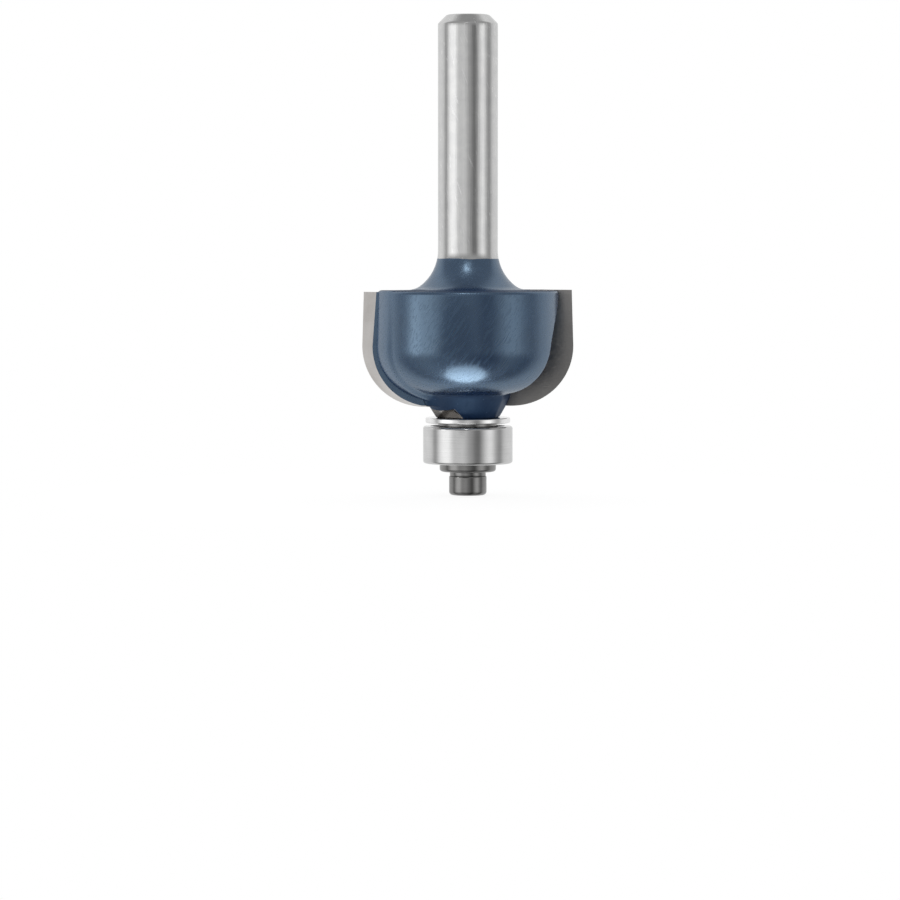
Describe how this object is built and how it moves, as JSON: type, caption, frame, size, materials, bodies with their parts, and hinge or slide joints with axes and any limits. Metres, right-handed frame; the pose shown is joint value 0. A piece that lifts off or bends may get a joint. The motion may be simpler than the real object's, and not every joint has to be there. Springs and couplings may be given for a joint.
{
  "type": "router bit",
  "caption": "Cove-profile router bit with a straight shank, brazed carbide tips on a turned steel body and a ball-bearing pilot at its end.",
  "frame": {"origin": "on the tool's axis, at the lower face of the cap screw's head, which is the bottom centre of the bounding box", "axes": "+Z along the axis towards the shank's end, +X towards the right-hand carbide tip's cutting edge, -Y towards the viewer of the picture"},
  "size_m": [0.0224, 0.0192, 0.0508],
  "materials": {
    "blue_enamel": "gloss",
    "carbide": "ground",
    "bright_steel": "bright",
    "bearing_steel": "ground",
    "ball_steel": "polished",
    "retainer_brass": "satin",
    "shield_steel": "satin",
    "spring_wire": "satin",
    "black_oxide": "black oxide"
  },
  "bodies": {
    "root": {"cutter_body": "blue_enamel", "right_carbide_tip": "carbide", "left_carbide_tip": "carbide", "chip_shield": "bright_steel", "spacer_ring": "black_oxide", "bearing_inner_ring": "bearing_steel", "clamp_washer": "black_oxide", "lock_washer": "black_oxide", "cap_screw": "black_oxide"},
    "outer_race": {"bearing_outer_ring": "bearing_steel", "upper_bearing_shield": "shield_steel", "lower_bearing_shield": "shield_steel", "upper_snap_wire": "spring_wire", "lower_snap_wire": "spring_wire"},
    "retainer": {"ball_retainer": "retainer_brass"},
    "rolling_ball_1": {"ball_1": "ball_steel"},
    "rolling_ball_2": {"ball_2": "ball_steel"},
    "rolling_ball_3": {"ball_3": "ball_steel"},
    "rolling_ball_4": {"ball_4": "ball_steel"},
    "rolling_ball_5": {"ball_5": "ball_steel"},
    "rolling_ball_6": {"ball_6": "ball_steel"},
    "rolling_ball_7": {"ball_7": "ball_steel"}
  },
  "joints": [
    {"name": "bearing_spin", "type": "hinge", "parent": "root", "child": "outer_race", "pos_m": [0, 0, 0.00537], "axis": [0, 0, 1], "continuous": true},
    {"name": "retainer_spin", "type": "hinge", "parent": "root", "child": "retainer", "pos_m": [0, 0, 0.00537], "axis": [0, 0, 1], "continuous": true},
    {"name": "ball_1_spin", "type": "hinge", "parent": "retainer", "child": "rolling_ball_1", "pos_m": [0.00286, 0.00138, 0.00537], "axis": [0, 0, 1], "continuous": true},
    {"name": "ball_2_spin", "type": "hinge", "parent": "retainer", "child": "rolling_ball_2", "pos_m": [0.00071, 0.0031, 0.00537], "axis": [0, 0, 1], "continuous": true},
    {"name": "ball_3_spin", "type": "hinge", "parent": "retainer", "child": "rolling_ball_3", "pos_m": [-0.00198, 0.00248, 0.00537], "axis": [0, 0, 1], "continuous": true},
    {"name": "ball_4_spin", "type": "hinge", "parent": "retainer", "child": "rolling_ball_4", "pos_m": [-0.00317, 0, 0.00537], "axis": [0, 0, 1], "continuous": true},
    {"name": "ball_5_spin", "type": "hinge", "parent": "retainer", "child": "rolling_ball_5", "pos_m": [-0.00198, -0.00248, 0.00537], "axis": [0, 0, 1], "continuous": true},
    {"name": "ball_6_spin", "type": "hinge", "parent": "retainer", "child": "rolling_ball_6", "pos_m": [0.00071, -0.0031, 0.00537], "axis": [0, 0, 1], "continuous": true},
    {"name": "ball_7_spin", "type": "hinge", "parent": "retainer", "child": "rolling_ball_7", "pos_m": [0.00286, -0.00138, 0.00537], "axis": [0, 0, 1], "continuous": true}
  ],
  "couplings": [
    {"joint": "retainer_spin", "follows": "bearing_spin", "ratio": 0.62504},
    {"joint": "ball_1_spin", "follows": "bearing_spin", "ratio": 1.8743},
    {"joint": "ball_2_spin", "follows": "bearing_spin", "ratio": 1.8743},
    {"joint": "ball_3_spin", "follows": "bearing_spin", "ratio": 1.8743},
    {"joint": "ball_4_spin", "follows": "bearing_spin", "ratio": 1.8743},
    {"joint": "ball_5_spin", "follows": "bearing_spin", "ratio": 1.8743},
    {"joint": "ball_6_spin", "follows": "bearing_spin", "ratio": 1.8743},
    {"joint": "ball_7_spin", "follows": "bearing_spin", "ratio": 1.8743}
  ]
}
